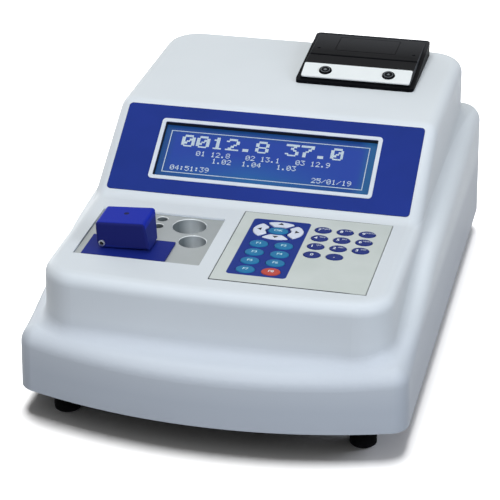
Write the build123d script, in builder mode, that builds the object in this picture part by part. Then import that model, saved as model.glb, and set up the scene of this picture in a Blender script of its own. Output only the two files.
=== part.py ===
from build123d import *
from math import cos, pi, radians, sin, tan
import os

os.makedirs("parts", exist_ok=True)

# A bench coagulation analyzer: a moulded case with a stepped base, a level key deck in front,
# a sloping display face behind it and a level rear deck that carries a panel printer.
# Millimetres, +Z up, front towards -Y, origin on the bench under the middle of the case.

# Case, outside
foot_height = 16.0
deck_z = 92.0
rear_deck_z = 131.5
wall = 3.0
base_half = 115.5
base_front = -174.0
base_rear = 174.0
base_bow = 335.0
base_front_corner = 13.0
base_rear_corner = 16.0
base_draft = 1.2
shoulder_radius = 10.0
inner_shoulder_radius = 7.0
cove_radius = 8.0
console_half = 103.8
console_front = -156.0
console_rear = 162.0
console_bow = 900.0
console_front_corner = 24.0
console_rear_corner = 24.0
console_draft = 0.9
console_root_z = 30.0
deck_edge_radius = 8.0
crease_y = -39.0
display_slope = 31.15
crease_radius = 15.0
brow_radius = 13.0
brow_y = crease_y + (rear_deck_z - deck_z) / tan(radians(display_slope))

# Side line of the ledge round the console, as (y, z) corners and the bend at each inner corner
ledge_front = (-200.0, 49.0)
ledge_dip = (-135.0, 55.0)
ledge_crest = (-48.0, 78.0)
ledge_rear = (200.0, 95.5)
ledge_dip_radius = 120.0
ledge_crest_radius = 160.0

# Display: label, window and liquid crystal module, on the sloping face
label_size = (190.2, 67.3)
label_mid = 38.65
label_thick = 0.35
window_x = -0.25
window_mid = 38.7
window_rim = (141.1, 46.6)
window_hole = (136.1, 41.6)
rim_proud = 0.5
bezel_neck = (137.7, 43.4)
bezel_body = (146.0, 52.0)
glass_size = (135.2, 40.9)
glass_top = -2.4
module_depth = 7.0
lcd_board_size = (162.0, 64.0)
board_thick = 1.6
lcd_post_pitch = (154.0, 56.0)

# Keypad on the key deck
pad_size = (90.8, 94.0)
pad_mid = (41.5, -90.6)
pad_gap = 0.3
pad_recess = 1.6
circuit_thick = 0.5
overlay_proud = 0.2
key_thick = 1.3
key_proud = 0.7
key_gap = 0.25
number_key = (5.1, 4.2)
number_columns = (47.4, 60.75, 74.1)
number_rows = (-59.8, -71.2, -82.6, -94.0)
function_key = (5.6, 4.6)
function_columns = (14.0, 29.0)
function_rows = (-86.4, -98.1, -109.7, -121.3)
ring_mid = (21.5, -66.9)
ring_outer = (15.3, 12.0)
ring_inner = (7.4, 5.4)
centre_key = (6.1, 4.3)
arrow_gap = 1.0

# Heated block with its wells, in its bay on the left of the key deck
bay_size = (76.1, 65.1)
bay_mid = (-51.25, -89.75)
bay_gap = 0.4
block_top = deck_z - 1.0
block_base = 62.0
block_flange = (87.0, 77.0, 5.0)
reagent_wells = ((-32.4, -70.0, 10.2, 20.0), (-25.4, -90.2, 8.2, 20.0))
well_chamfer = 0.4
incubation_columns = (-51.0, -61.4)
incubation_rows = (-63.4, -73.4)
cuvette_radius = 3.2
cuvette_depth = 26.0
measuring_well = (-62.5, -102.5)

# Hinged light cover over the measuring well
plate_size = (50.2, 26.5)
plate_mid = (-59.3, -108.75)
plate_top = deck_z + 0.2
hinge_x = -73.9
hinge_z = deck_z + 3.8
cover_front = -113.5
cover_rear = -87.0
cover_lean = 8.4
cover_left = -3.4
cover_right = 26.2
cover_flare = 2.4
cover_top = 12.9
cover_wall = 2.2
cover_tilt = 3.0
cover_edge_radius = 1.8
cover_end_radius = 1.6
dimple_back = 14.5
pin_proud = 0.8
pin_radius = 1.95
pin_bore = 1.1
running_gap = 0.05
ear_radius = 2.8
ear_thick = 3.4
front_ear = -108.6
rear_ear = -99.6

# Panel printer on the rear deck
printer_x = 40.0
printer_half = 38.9
printer_front = 76.0
printer_rear = 149.5
flange_front_z = 133.7
flange_rear_z = 141.0
inner_half = 36.1
fascia_front = (79.0, 135.0)
fascia_back = (93.6, 139.2)
band_back = (109.4, 139.7)
lid_front = (110.6, 140.0)
lid_back = (146.5, 141.2)
lid_wall = 1.5
lid_skirt_z = 134.0
lid_gap = 0.3
mech_half = 34.5
mech_front = 80.0
mech_rear = 146.5
mech_base = 96.0
roll_axis = (128.0, 117.5)
roll_radius = 16.0
roll_half = 28.5
roll_core = 6.0
bay_half = 29.5
platen_axis = (114.6, 134.0)
platen_radius = 4.0
platen_half = 27.0
platen_shaft = 1.5
lid_hinge = (143.5, 138.0)
lid_pin_radius = 1.25
button_radius = 4.05
button_gap = 0.25
button_pitch = 41.7
button_proud = 1.0
fascia_thick = 0.8

# Chassis, feet and rear panel
tray_thick = 1.5
tray_inset = 3.5
foot_x = 89.0
foot_y = 143.0
foot_top_radius = 8.6
foot_base_radius = 7.8
boss_x = 104.0
boss_y = (-112.0, 126.0)
boss_radius = 4.5
panel_y = 164.0
panel_thick = 1.5
panel_half = 84.0
panel_top = 80.0
rear_window = (152.0, 46.0)
rear_window_z = 49.0
inlet_x = 54.0
rocker_x = 22.0
serial_x = -8.0
fan_x = -50.0
fan_size = 40.0
fan_depth = 10.0

display_plane = Plane(
    origin=(0, crease_y, deck_z),
    x_dir=(1, 0, 0),
    z_dir=(0, -sin(radians(display_slope)), cos(radians(display_slope))),
)
deck_plane = Plane.XY.offset(deck_z)


def printer_plane(low, high):
    """Plane through two (y, z) points of the printer's side line, its origin at the first."""
    slope = Vector(0, high[0] - low[0], high[1] - low[1])
    return Plane(
        origin=(printer_x, low[0], low[1]), x_dir=(1, 0, 0), z_dir=Vector(1, 0, 0).cross(slope),
    )


def printer_prism(points, half):
    """Solid across the printer, centred on it, from the corners (y, z) of its side outline."""
    with BuildPart() as prism:
        with BuildSketch(Plane.YZ.offset(printer_x)):
            with BuildLine():
                Polyline(*points, close=True)
            make_face()
        extrude(amount=half, both=True)
    return prism.part


def save(piece, name):
    """Label a finished piece and write it to its own file."""
    piece.part.label = name
    export_step(piece.part, f"parts/{name}.step")


def rim_edges(faces):
    """Edges that bound a group of touching faces: those that only one of them has."""
    edges = ShapeList([edge for face in faces for edge in face.edges()])
    return ShapeList([edge for edge in edges if sum(edge.is_same(other) for other in edges) == 1])


def plan_outline(plan, half, front, rear, bow, front_corner, rear_corner):
    """Round-cornered plan with a bowed front, drawn in the sketch that is open."""
    with Locations((0, (front + rear) / 2)):
        Rectangle(2 * half, rear - front)
    with Locations((0, front + bow)):
        Circle(bow, mode=Mode.INTERSECT)
    fillet(plan.vertices().group_by(Axis.Y)[0], front_corner)
    fillet(plan.vertices().group_by(Axis.Y)[-1], rear_corner)


def console_form(inset):
    """Upper body: a drafted plan cut to the stepped side profile, its top edge rounded."""
    turn = inset * tan(radians(display_slope / 2))
    crease = (crease_y + turn, deck_z - inset)
    brow = (brow_y + turn, rear_deck_z - inset)
    reach = 250.0
    with BuildPart() as console:
        with BuildSketch(Plane.XY.offset(console_root_z)) as plan:
            plan_outline(
                plan, console_half - inset, console_front + inset, console_rear - inset,
                console_bow, console_front_corner - inset, console_rear_corner - inset,
            )
        extrude(amount=rear_deck_z, taper=console_draft)
        with BuildSketch(Plane.YZ) as side:
            with BuildLine():
                Polyline(
                    (-reach, 0), (-reach, crease[1]), crease, brow, (reach, brow[1]), (reach, 0),
                    close=True,
                )
            make_face()
            fillet(side.vertices().sort_by_distance(crease)[0], crease_radius + inset)
            fillet(side.vertices().sort_by_distance(brow)[0], brow_radius - inset)
        extrude(amount=reach, both=True, mode=Mode.INTERSECT)
        top_faces = console.faces().filter_by(lambda f: f.normal_at(f.center()).Z > 0.5)
        fillet(rim_edges(top_faces), deck_edge_radius - inset)
    return console.part


def case_form(inset):
    """Whole outer form: the stepped base with its ledge, the console on it, and the cove between."""
    start = foot_height - (foot_height / 2 if inset else 0)
    reach = 250.0
    line = [(y, z - inset) for y, z in (ledge_front, ledge_dip, ledge_crest, ledge_rear)]
    with BuildPart() as case:
        with BuildSketch(Plane.XY.offset(start)) as plan:
            plan_outline(
                plan, base_half - inset, base_front + inset, base_rear - inset,
                base_bow, base_front_corner - inset, base_rear_corner - inset,
            )
        extrude(amount=deck_z, taper=base_draft)
        with BuildSketch(Plane.YZ) as side:
            with BuildLine():
                Polyline((line[0][0], 0), *line, (line[3][0], 0), close=True)
            make_face()
            fillet(side.vertices().sort_by_distance(line[2])[0], ledge_crest_radius - inset)
            fillet(side.vertices().sort_by_distance(line[1])[0], ledge_dip_radius + inset)
        extrude(amount=reach, both=True, mode=Mode.INTERSECT)
        top_faces = case.faces().filter_by(lambda f: f.normal_at(f.center()).Z > 0.5)
        fillet(rim_edges(top_faces), inner_shoulder_radius if inset else shoulder_radius)
        add(console_form(inset))
        seam = case.edges(Select.NEW).filter_by(lambda e: e.center().Z > ledge_front[1] - inset)
        fillet(seam, cove_radius + inset)
    return case.part


outer_form = case_form(0)
inner_form = case_form(wall)

# Housing shell: one moulding, open below, with every bay and window cut through it
with BuildPart() as bosses:
    with BuildSketch(Plane.XY.offset(foot_height + tray_thick)):
        with Locations([(side * boss_x, y) for side in (-1, 1) for y in boss_y]):
            Circle(boss_radius)
    extrude(amount=deck_z)
    add(outer_form, mode=Mode.INTERSECT)

with BuildPart() as housing_shell:
    add(outer_form)
    add(inner_form, mode=Mode.SUBTRACT)
    add(bosses.part)
    with BuildSketch(Plane.XY.offset(foot_height + tray_thick)):
        with Locations([(side * boss_x, y) for side in (-1, 1) for y in boss_y]):
            Circle(1.6)
    extrude(amount=14, mode=Mode.SUBTRACT)
    with BuildSketch(display_plane.offset(-wall)):
        with Locations((window_x, window_mid)):
            with GridLocations(*lcd_post_pitch, 2, 2):
                Circle(3.2)
    extrude(amount=-(module_depth - wall))
    with BuildSketch(display_plane.offset(-module_depth)):
        with Locations((window_x, window_mid)):
            with GridLocations(*lcd_post_pitch, 2, 2):
                Circle(1.3)
    extrude(amount=5.5, mode=Mode.SUBTRACT)
    with BuildSketch(display_plane.offset(5)):
        with Locations((window_x, window_mid)):
            RectangleRounded(bezel_neck[0] + 0.6, bezel_neck[1] + 0.6, 1)
    extrude(amount=-12, mode=Mode.SUBTRACT)
    with BuildSketch(deck_plane):
        with Locations(pad_mid):
            Rectangle(pad_size[0] + 2 * pad_gap, pad_size[1] + 2 * pad_gap)
    extrude(amount=-pad_recess, mode=Mode.SUBTRACT)
    with BuildSketch(deck_plane):
        with Locations((pad_mid[0], pad_mid[1] + pad_size[1] / 2 - 4)):
            Rectangle(22, 2.4)
        with Locations(bay_mid):
            RectangleRounded(*bay_size, 0.8)
    extrude(amount=-8, mode=Mode.SUBTRACT)
    with BuildSketch(Plane.XY.offset(rear_deck_z)):
        with Locations((printer_x, (mech_front + mech_rear) / 2)):
            RectangleRounded(2 * mech_half + 1, mech_rear - mech_front + 1, 1)
    extrude(amount=-8, mode=Mode.SUBTRACT)
    with BuildSketch(Plane.XZ.offset(-base_rear - 2)):
        with Locations((0, rear_window_z)):
            RectangleRounded(*rear_window, 4)
    extrude(amount=10, mode=Mode.SUBTRACT)
save(housing_shell, "housing_shell")

# Base tray: folded sheet, with the rear panel as its upstand and posts for the main board
board_mid = (12.0, 20.0)
board_size = (130.0, 90.0)
post_height = 6.0
with BuildPart() as base_tray:
    with BuildSketch(Plane.XY.offset(foot_height)) as floor:
        plan_outline(
            floor, base_half - tray_inset, base_front + tray_inset, base_rear - tray_inset,
            base_bow, base_front_corner - tray_inset, base_rear_corner - tray_inset,
        )
        with Locations([(side * boss_x, y) for side in (-1, 1) for y in boss_y]):
            Circle(2.0, mode=Mode.SUBTRACT)
        with GridLocations(2 * foot_x, 2 * foot_y, 2, 2):
            Circle(1.7, mode=Mode.SUBTRACT)
        with Locations((0, -70)):
            with GridLocations(12, 0, 6, 1):
                SlotOverall(40, 4, rotation=90, mode=Mode.SUBTRACT)
    extrude(amount=tray_thick)
    with BuildSketch(Plane.XZ.offset(-panel_y - panel_thick)):
        with Locations((0, (foot_height + panel_top) / 2)):
            Rectangle(2 * panel_half, panel_top - foot_height)
        with Locations((inlet_x, rear_window_z)):
            Rectangle(27.4, 20.0, mode=Mode.SUBTRACT)
        with Locations((rocker_x, rear_window_z)):
            Rectangle(19.4, 13.4, mode=Mode.SUBTRACT)
        with Locations((serial_x, rear_window_z)):
            Rectangle(20.4, 11.0, mode=Mode.SUBTRACT)
        for row in range(-3, 4):
            with Locations((fan_x, rear_window_z + 5 * row)):
                SlotOverall(2 * (18.5**2 - (5 * row) ** 2) ** 0.5, 3, mode=Mode.SUBTRACT)
    extrude(amount=panel_thick)
    with BuildSketch(Plane.XY.offset(foot_height + tray_thick)):
        with Locations(board_mid):
            with GridLocations(board_size[0] - 10, board_size[1] - 10, 2, 2):
                Circle(3)
                Circle(1.3, mode=Mode.SUBTRACT)
    extrude(amount=post_height)
save(base_tray, "base_tray")

# Rubber feet: tapered plugs with a sunk screw each
foot_sink = 7.0
with BuildPart() as rubber_feet:
    with BuildSketch(Plane.XY):
        with GridLocations(2 * foot_x, 2 * foot_y, 2, 2):
            Circle(foot_base_radius)
    extrude(amount=foot_height, taper=-2.5)
    bottoms = rubber_feet.faces().group_by(Axis.Z)[0]
    chamfer(bottoms.edges(), 1.0)
    with BuildSketch(Plane.XY):
        with GridLocations(2 * foot_x, 2 * foot_y, 2, 2):
            Circle(4.2)
    extrude(amount=foot_sink, mode=Mode.SUBTRACT)
    with BuildSketch(Plane.XY):
        with GridLocations(2 * foot_x, 2 * foot_y, 2, 2):
            Circle(1.8)
    extrude(amount=foot_height, mode=Mode.SUBTRACT)
save(rubber_feet, "rubber_feet")


def pan_screws(plane, places, head_radius, head_height, shank_radius, shank_length):
    """Pan-head screws with their heads' seats on the plane and shanks along its normal."""
    with BuildPart() as screws:
        with BuildSketch(plane):
            with Locations(places):
                Circle(head_radius)
        extrude(amount=-head_height)
        with BuildSketch(plane):
            with Locations(places):
                Circle(shank_radius)
        extrude(amount=shank_length)
        with BuildSketch(plane.offset(-head_height)):
            with Locations(places):
                Rectangle(1.2 * head_radius, 0.7)
                Rectangle(0.7, 1.2 * head_radius)
        extrude(amount=0.4 * head_height, mode=Mode.SUBTRACT)
    return screws


foot_places = [(sx * foot_x, sy * foot_y) for sx in (-1, 1) for sy in (-1, 1)]
foot_screws = pan_screws(Plane.XY.offset(foot_sink), foot_places, 3.4, 2.2, 1.6, 13)
save(foot_screws, "foot_screws")

boss_places = [(sx * boss_x, y) for sx in (-1, 1) for y in boss_y]
case_screws = pan_screws(Plane.XY.offset(foot_height), boss_places, 3.2, 2.0, 1.5, 12)
save(case_screws, "case_screws")

# Display label: printed film on the sloping face, with the window cut out of it
with BuildPart() as display_label:
    with BuildSketch(display_plane):
        with Locations((0, label_mid)):
            RectangleRounded(*label_size, 2.6)
        with Locations((window_x, window_mid)):
            RectangleRounded(*window_hole, 0.8, mode=Mode.SUBTRACT)
    extrude(amount=label_thick)
save(display_label, "display_label")

with BuildPart() as window_frame:
    with BuildSketch(display_plane.offset(label_thick)):
        with Locations((window_x, window_mid)):
            RectangleRounded(*window_rim, 2.4)
            RectangleRounded(*window_hole, 0.8, mode=Mode.SUBTRACT)
    extrude(amount=rim_proud)
save(window_frame, "window_frame")

# Liquid crystal module: black metal bezel, glass with its backlight, and the board behind
with BuildPart() as lcd_bezel:
    with BuildSketch(display_plane.offset(-wall)):
        with Locations((window_x, window_mid)):
            Rectangle(*bezel_body)
    extrude(amount=-(module_depth - wall))
    with BuildSketch(display_plane.offset(-wall)):
        with Locations((window_x, window_mid)):
            Rectangle(*bezel_neck)
    extrude(amount=wall - 0.6)
    with BuildSketch(display_plane):
        with Locations((window_x, window_mid)):
            Rectangle(glass_size[0] + 0.4, glass_size[1] + 0.4)
    extrude(amount=-module_depth, mode=Mode.SUBTRACT)
save(lcd_bezel, "lcd_bezel")

with BuildPart() as lcd_glass:
    with BuildSketch(display_plane.offset(glass_top)):
        with Locations((window_x, window_mid)):
            Rectangle(*glass_size)
    extrude(amount=-(module_depth + glass_top))
save(lcd_glass, "lcd_glass")

with BuildPart() as lcd_board:
    with BuildSketch(display_plane.offset(-module_depth)):
        with Locations((window_x, window_mid)):
            Rectangle(*lcd_board_size)
            with GridLocations(*lcd_post_pitch, 2, 2):
                Circle(1.7, mode=Mode.SUBTRACT)
    extrude(amount=-board_thick)
    with BuildSketch(display_plane.offset(-module_depth - board_thick)):
        with Locations((window_x, window_mid)):
            with GridLocations(28, 0, 4, 1):
                Rectangle(12, 18)
    extrude(amount=-2.2)
save(lcd_board, "lcd_board")

lcd_posts = [
    (window_x + sx * lcd_post_pitch[0] / 2, window_mid + sy * lcd_post_pitch[1] / 2)
    for sx in (-1, 1) for sy in (-1, 1)
]
lcd_screws = pan_screws(display_plane.offset(-module_depth - board_thick), lcd_posts, 2.7, 1.6, 1.2, 5.5)
save(lcd_screws, "lcd_screws")

# Keypad: a printed circuit in the deck's recess, an overlay on it and one key for each place
circuit_z = deck_z - pad_recess
overlay_z = circuit_z + circuit_thick
overlay_top = deck_z + overlay_proud
key_top = deck_z + key_proud
arrow_names = ("right", "up", "left", "down")


def arrow_sector(index, grow):
    """Quarter of the ring of arrow keys in the sketch that is open, grown all round."""
    reach = 30.0
    apex = (arrow_gap - grow) * 2**0.5
    with Locations(ring_mid):
        Ellipse(ring_outer[0] + grow, ring_outer[1] + grow)
        Ellipse(ring_inner[0] - grow, ring_inner[1] - grow, mode=Mode.SUBTRACT)
        with Locations(Rotation(0, 0, 90 * index)):
            Polygon((apex, 0), (apex + reach, reach), (apex + reach, -reach), align=None,
                    mode=Mode.INTERSECT)


with BuildPart() as keypad_circuit:
    with BuildSketch(Plane.XY.offset(circuit_z)):
        with Locations(pad_mid):
            Rectangle(*pad_size)
    extrude(amount=circuit_thick)
    with BuildSketch(Plane.XY.offset(circuit_z)):
        with Locations((pad_mid[0], pad_mid[1] + pad_size[1] / 2 - 4)):
            Rectangle(18, 0.5)
    extrude(amount=-24)
save(keypad_circuit, "keypad_circuit")

number_places = [(x, y) for y in number_rows for x in number_columns][:11]
number_names = ("7", "8", "9", "4", "5", "6", "1", "2", "3", "0", "point")
function_places = [(x, y) for y in function_rows for x in function_columns]
function_names = [f"{side}_{row}" for row in (1, 2, 3, 4) for side in ("left", "right")]

with BuildPart() as keypad_overlay:
    with BuildSketch(Plane.XY.offset(overlay_z)):
        with Locations(pad_mid):
            Rectangle(*pad_size)
    extrude(amount=overlay_top - overlay_z)
    with BuildSketch(Plane.XY.offset(overlay_z)):
        with Locations(number_places):
            Ellipse(number_key[0] + key_gap, number_key[1] + key_gap)
        with Locations(function_places):
            Ellipse(function_key[0] + key_gap, function_key[1] + key_gap)
        with Locations(ring_mid):
            Ellipse(centre_key[0] + key_gap, centre_key[1] + key_gap)
    extrude(amount=overlay_top - overlay_z, mode=Mode.SUBTRACT)
    for index in range(4):
        with BuildSketch(Plane.XY.offset(overlay_z)):
            arrow_sector(index, key_gap)
        extrude(amount=overlay_top - overlay_z, mode=Mode.SUBTRACT)
save(keypad_overlay, "keypad_overlay")


def oval_key(name, place, size):
    """One oval key that stands a little proud of the overlay."""
    with BuildPart() as key:
        with BuildSketch(Plane.XY.offset(key_top - key_thick)):
            with Locations(place):
                Ellipse(*size)
        extrude(amount=key_thick)
    save(key, name)


for name, place in zip(number_names, number_places):
    oval_key(f"number_key_{name}", place, number_key)
for name, place in zip(function_names, function_places):
    oval_key(f"function_key_{name}", place, function_key)
oval_key("centre_key", ring_mid, centre_key)
for index, name in enumerate(arrow_names):
    with BuildPart() as arrow_key:
        with BuildSketch(Plane.XY.offset(key_top - key_thick)):
            arrow_sector(index, 0)
        extrude(amount=key_thick)
    save(arrow_key, f"arrow_key_{name}")

# Heated block: an aluminium block hung under the deck, with reagent, incubation and measuring wells
incubation_wells = [(x, y) for x in incubation_columns for y in incubation_rows]
block_screw_pitch = (block_flange[0] - 7, block_flange[1] - 7)
with BuildPart() as heater_block:
    with BuildSketch(Plane.XY.offset(block_base)):
        with Locations(bay_mid):
            RectangleRounded(bay_size[0] - 2 * bay_gap, bay_size[1] - 2 * bay_gap, 0.6)
    extrude(amount=block_top - block_base)
    with BuildSketch(Plane.XY.offset(deck_z - wall)):
        with Locations(bay_mid):
            RectangleRounded(block_flange[0], block_flange[1], 4)
            with GridLocations(*block_screw_pitch, 2, 2):
                Circle(1.6, mode=Mode.SUBTRACT)
    extrude(amount=-block_flange[2])
    for x, y, radius, depth in reagent_wells:
        with BuildSketch(Plane.XY.offset(block_top)):
            with Locations((x, y)):
                Circle(radius)
        extrude(amount=-depth, mode=Mode.SUBTRACT)
    with BuildSketch(Plane.XY.offset(block_top)):
        with Locations(incubation_wells + [measuring_well]):
            Circle(cuvette_radius)
    extrude(amount=-cuvette_depth, mode=Mode.SUBTRACT)
    mouths = heater_block.edges().filter_by(GeomType.CIRCLE)
    mouths = mouths.filter_by(lambda e: e.radius > 2 and abs(e.center().Z - block_top) < 0.01)
    chamfer(mouths.filter_by(lambda e: e.center().Y > plate_mid[1] + plate_size[1] / 2), well_chamfer)
save(heater_block, "heater_block")

block_screw_places = [
    (bay_mid[0] + sx * block_screw_pitch[0] / 2, bay_mid[1] + sy * block_screw_pitch[1] / 2)
    for sx in (-1, 1) for sy in (-1, 1)
]
block_screws = pan_screws(
    Plane.XY.offset(deck_z - wall - block_flange[2]), block_screw_places, 2.7, 1.8, 1.5, block_flange[2],
)
save(block_screws, "block_screws")

# Optics block: lamp and detector holder under the measuring well
with BuildPart() as optics_block:
    with BuildSketch(Plane.XY.offset(block_base)):
        with Locations(measuring_well):
            RectangleRounded(26, 20, 2)
    extrude(amount=-12)
    with BuildSketch(Plane.XY.offset(block_base - 12)):
        with Locations(measuring_well):
            Rectangle(34, 24)
    extrude(amount=-board_thick)
save(optics_block, "optics_block")

# Cover base: plate with the collar of the measuring well, two hinge ears and a rest pad
rest_x = cover_right + cover_flare - 1.4
rest_y = -104.0
rest_width = 2.0
rest_length = 6.0
tilt = radians(cover_tilt)
rest_top = hinge_z + (rest_x - rest_width / 2) * sin(tilt) + cover_left * cos(tilt) - 0.02
with BuildPart() as cover_base:
    with BuildSketch(Plane.XY.offset(block_top)):
        with Locations(plate_mid):
            Rectangle(*plate_size)
    extrude(amount=plate_top - block_top)
    for ear_front in (front_ear, rear_ear):
        with BuildSketch(Plane.XZ.offset(-ear_front)):
            with Locations((hinge_x, hinge_z)):
                Circle(ear_radius)
            with Locations((hinge_x, (hinge_z + plate_top) / 2)):
                Rectangle(2 * ear_radius, hinge_z - plate_top)
        extrude(amount=-ear_thick)
    with BuildSketch(Plane.XZ.offset(-rear_ear - 2 * ear_thick)):
        with Locations((hinge_x, hinge_z)):
            Circle(pin_radius)
    extrude(amount=40, mode=Mode.SUBTRACT)
    with BuildSketch(Plane.XY.offset(plate_top)):
        with Locations(measuring_well):
            Circle(cuvette_radius + 2)
    extrude(amount=1.7)
    with BuildSketch(Plane.XY.offset(plate_top)):
        with Locations((hinge_x + rest_x, rest_y)):
            Rectangle(rest_width, rest_length)
    extrude(amount=rest_top - plate_top)
    with BuildSketch(Plane.XY.offset(block_top)):
        with Locations(measuring_well):
            Circle(cuvette_radius)
    extrude(amount=5, mode=Mode.SUBTRACT)
save(cover_base, "cover_base")

with BuildPart() as cover_hinge_pin:
    with BuildSketch(Plane.XZ.offset(-(rear_ear + ear_thick))):
        with Locations((hinge_x, hinge_z)):
            Circle(pin_radius)
            Circle(pin_bore, mode=Mode.SUBTRACT)
    extrude(amount=rear_ear + ear_thick - cover_front + pin_proud)
save(cover_hinge_pin, "cover_hinge_pin")

# Light cover: a hollow box whose lower left corner is round about the hinge pin. Its right wall
# spreads towards the foot and its rear wall leans forward towards the foot.
cover_plane = Plane(
    origin=(hinge_x, cover_front, hinge_z),
    x_dir=(cos(tilt), 0, sin(tilt)),
    z_dir=(0, -1, 0),
)
spine = 4.6
notch = ear_radius + 0.45
cover_foot_z = hinge_z - 4.0
cover_high_z = hinge_z + 15.0


def behind_cover(inset):
    with BuildPart() as wedge:
        with BuildSketch(Plane.YZ.offset(hinge_x - 20)):
            with BuildLine():
                Polyline(
                    (cover_rear - inset, cover_high_z),
                    (cover_rear - cover_lean - inset, cover_foot_z),
                    (cover_rear + 1, cover_foot_z), (cover_rear + 1, cover_high_z), close=True,
                )
            make_face()
        extrude(amount=80)
    return wedge.part


with BuildPart() as cover_inside:
    with BuildSketch(cover_plane.offset(-cover_wall)):
        with Locations(((spine + cover_right - cover_wall) / 2, (cover_left + cover_top - cover_wall) / 2)):
            Rectangle(cover_right - cover_wall - spine, cover_top - cover_wall - cover_left)
    extrude(amount=cover_front + cover_wall - cover_rear)
    add(behind_cover(cover_wall), mode=Mode.SUBTRACT)

with BuildPart() as sensor_cover:
    with BuildSketch(cover_plane) as section:
        with BuildLine():
            Polyline(
                (cover_left, cover_left), (cover_right + cover_flare, cover_left),
                (cover_right, cover_top), (cover_left, cover_top), close=True,
            )
        make_face()
        fillet(section.vertices().sort_by_distance((cover_left, cover_left))[0], -cover_left)
        fillet(section.vertices().group_by(Axis.Y)[-1], cover_edge_radius)
    extrude(amount=cover_front - cover_rear)
    add(behind_cover(0), mode=Mode.SUBTRACT)
    ends = [sensor_cover.faces().sort_by(Axis.Y)[0], sensor_cover.faces().sort_by(Axis.Y)[-1]]
    end_edges = ShapeList(ends[0].edges() + ends[1].edges())
    fillet(end_edges.filter_by(lambda e: (e @ 0.5).Z > hinge_z), cover_end_radius)
    add(cover_inside.part, mode=Mode.SUBTRACT)
    for ear_front, room in ((front_ear, ear_thick + 0.8), (rear_ear, 20)):
        with BuildSketch(cover_plane.offset(cover_front - ear_front + 0.4)):
            with Locations(((notch - 5) / 2, (notch - 5) / 2)):
                Rectangle(notch + 5, notch + 5)
        extrude(amount=-room, mode=Mode.SUBTRACT)
    with BuildSketch(cover_plane.offset(1)):
        Circle(pin_radius + running_gap)
    extrude(amount=cover_front - rear_ear - 2, mode=Mode.SUBTRACT)
    with BuildSketch(cover_plane.offset(-dimple_back).rotated((-90, 0, 0)).offset(cover_top)):
        with Locations(((cover_left + cover_right) / 2, 0)):
            Circle(1.3)
    extrude(amount=-0.7, mode=Mode.SUBTRACT)
save(sensor_cover, "sensor_cover")

# Panel printer body: a wedge flange on the deck, a raised front with the seat of the fascia, and
# below the deck the mechanism box with its paper cradle
fascia_plane = printer_plane(fascia_front, fascia_back)
lid_plane = printer_plane(lid_front, lid_back)
fascia_mid = 7.6
fascia_length = 14.8
head_face = platen_axis[0] - platen_radius - 0.5
head_back = head_face - 5.0
head_base = 126.5
head_top = 137.5
lid_room_base = 131.0
lid_room_rear = lid_hinge[0] + 4.7
lid_pin_end = inner_half + 1.8
cradle_radius = roll_radius + 0.3
button_places = ((-button_pitch / 2, fascia_mid), (button_pitch / 2, fascia_mid))
high = 150.0
with BuildPart() as printer_body:
    add(printer_prism(
        [(printer_front, rear_deck_z), (printer_rear, rear_deck_z),
         (printer_rear, flange_rear_z), (printer_front, flange_front_z)], printer_half,
    ))
    fillet(printer_body.edges().filter_by(Axis.Z), 3)
    add(printer_prism(
        [(fascia_front[0], rear_deck_z), fascia_front, fascia_back, band_back,
         (band_back[0], rear_deck_z)], inner_half,
    ))
    add(printer_prism(
        [(mech_front, mech_base), (mech_rear, mech_base), (mech_rear, rear_deck_z),
         (mech_front, rear_deck_z)], mech_half,
    ))
    add(printer_prism(
        [(band_back[0], lid_room_base), (lid_room_rear, lid_room_base), (lid_room_rear, high),
         (band_back[0], high)], inner_half + lid_gap,
    ), mode=Mode.SUBTRACT)
    with BuildSketch(Plane.YZ.offset(printer_x)):
        with Locations(roll_axis):
            Circle(cradle_radius)
    extrude(amount=bay_half, both=True, mode=Mode.SUBTRACT)
    add(printer_prism(
        [(band_back[0], roll_axis[1]), (roll_axis[0] + cradle_radius, roll_axis[1]),
         (roll_axis[0] + cradle_radius, high), (band_back[0], high)], bay_half,
    ), mode=Mode.SUBTRACT)
    add(printer_prism(
        [(head_back, head_base), (head_face + 0.3, head_base), (head_face + 0.3, head_top + 0.3),
         (head_back, head_top + 0.3)], platen_half + 0.5,
    ), mode=Mode.SUBTRACT)
    with BuildSketch(fascia_plane):
        with Locations(button_places):
            Circle(button_radius + button_gap)
    extrude(amount=-3.2, mode=Mode.SUBTRACT)
    with BuildSketch(Plane.YZ.offset(printer_x)):
        with Locations(lid_hinge):
            Circle(lid_pin_radius)
    extrude(amount=lid_pin_end, both=True, mode=Mode.SUBTRACT)
save(printer_body, "printer_body")

with BuildPart() as printer_fascia:
    with BuildSketch(fascia_plane):
        with Locations((0, fascia_mid)):
            RectangleRounded(2 * inner_half - 0.8, fascia_length, 1.2)
        with Locations(button_places):
            Circle(button_radius + button_gap, mode=Mode.SUBTRACT)
    extrude(amount=fascia_thick)
save(printer_fascia, "printer_fascia")

button_depth = 2.0
for name, place in zip(("left", "right"), button_places):
    with BuildPart() as button:
        with BuildSketch(fascia_plane.offset(-button_depth)):
            with Locations(place):
                Circle(button_radius)
        extrude(amount=button_depth + fascia_thick + button_proud)
        chamfer(button.faces().sort_by(Axis.Z)[-1].edges(), 0.4)
    save(button, f"printer_button_{name}")

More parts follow.
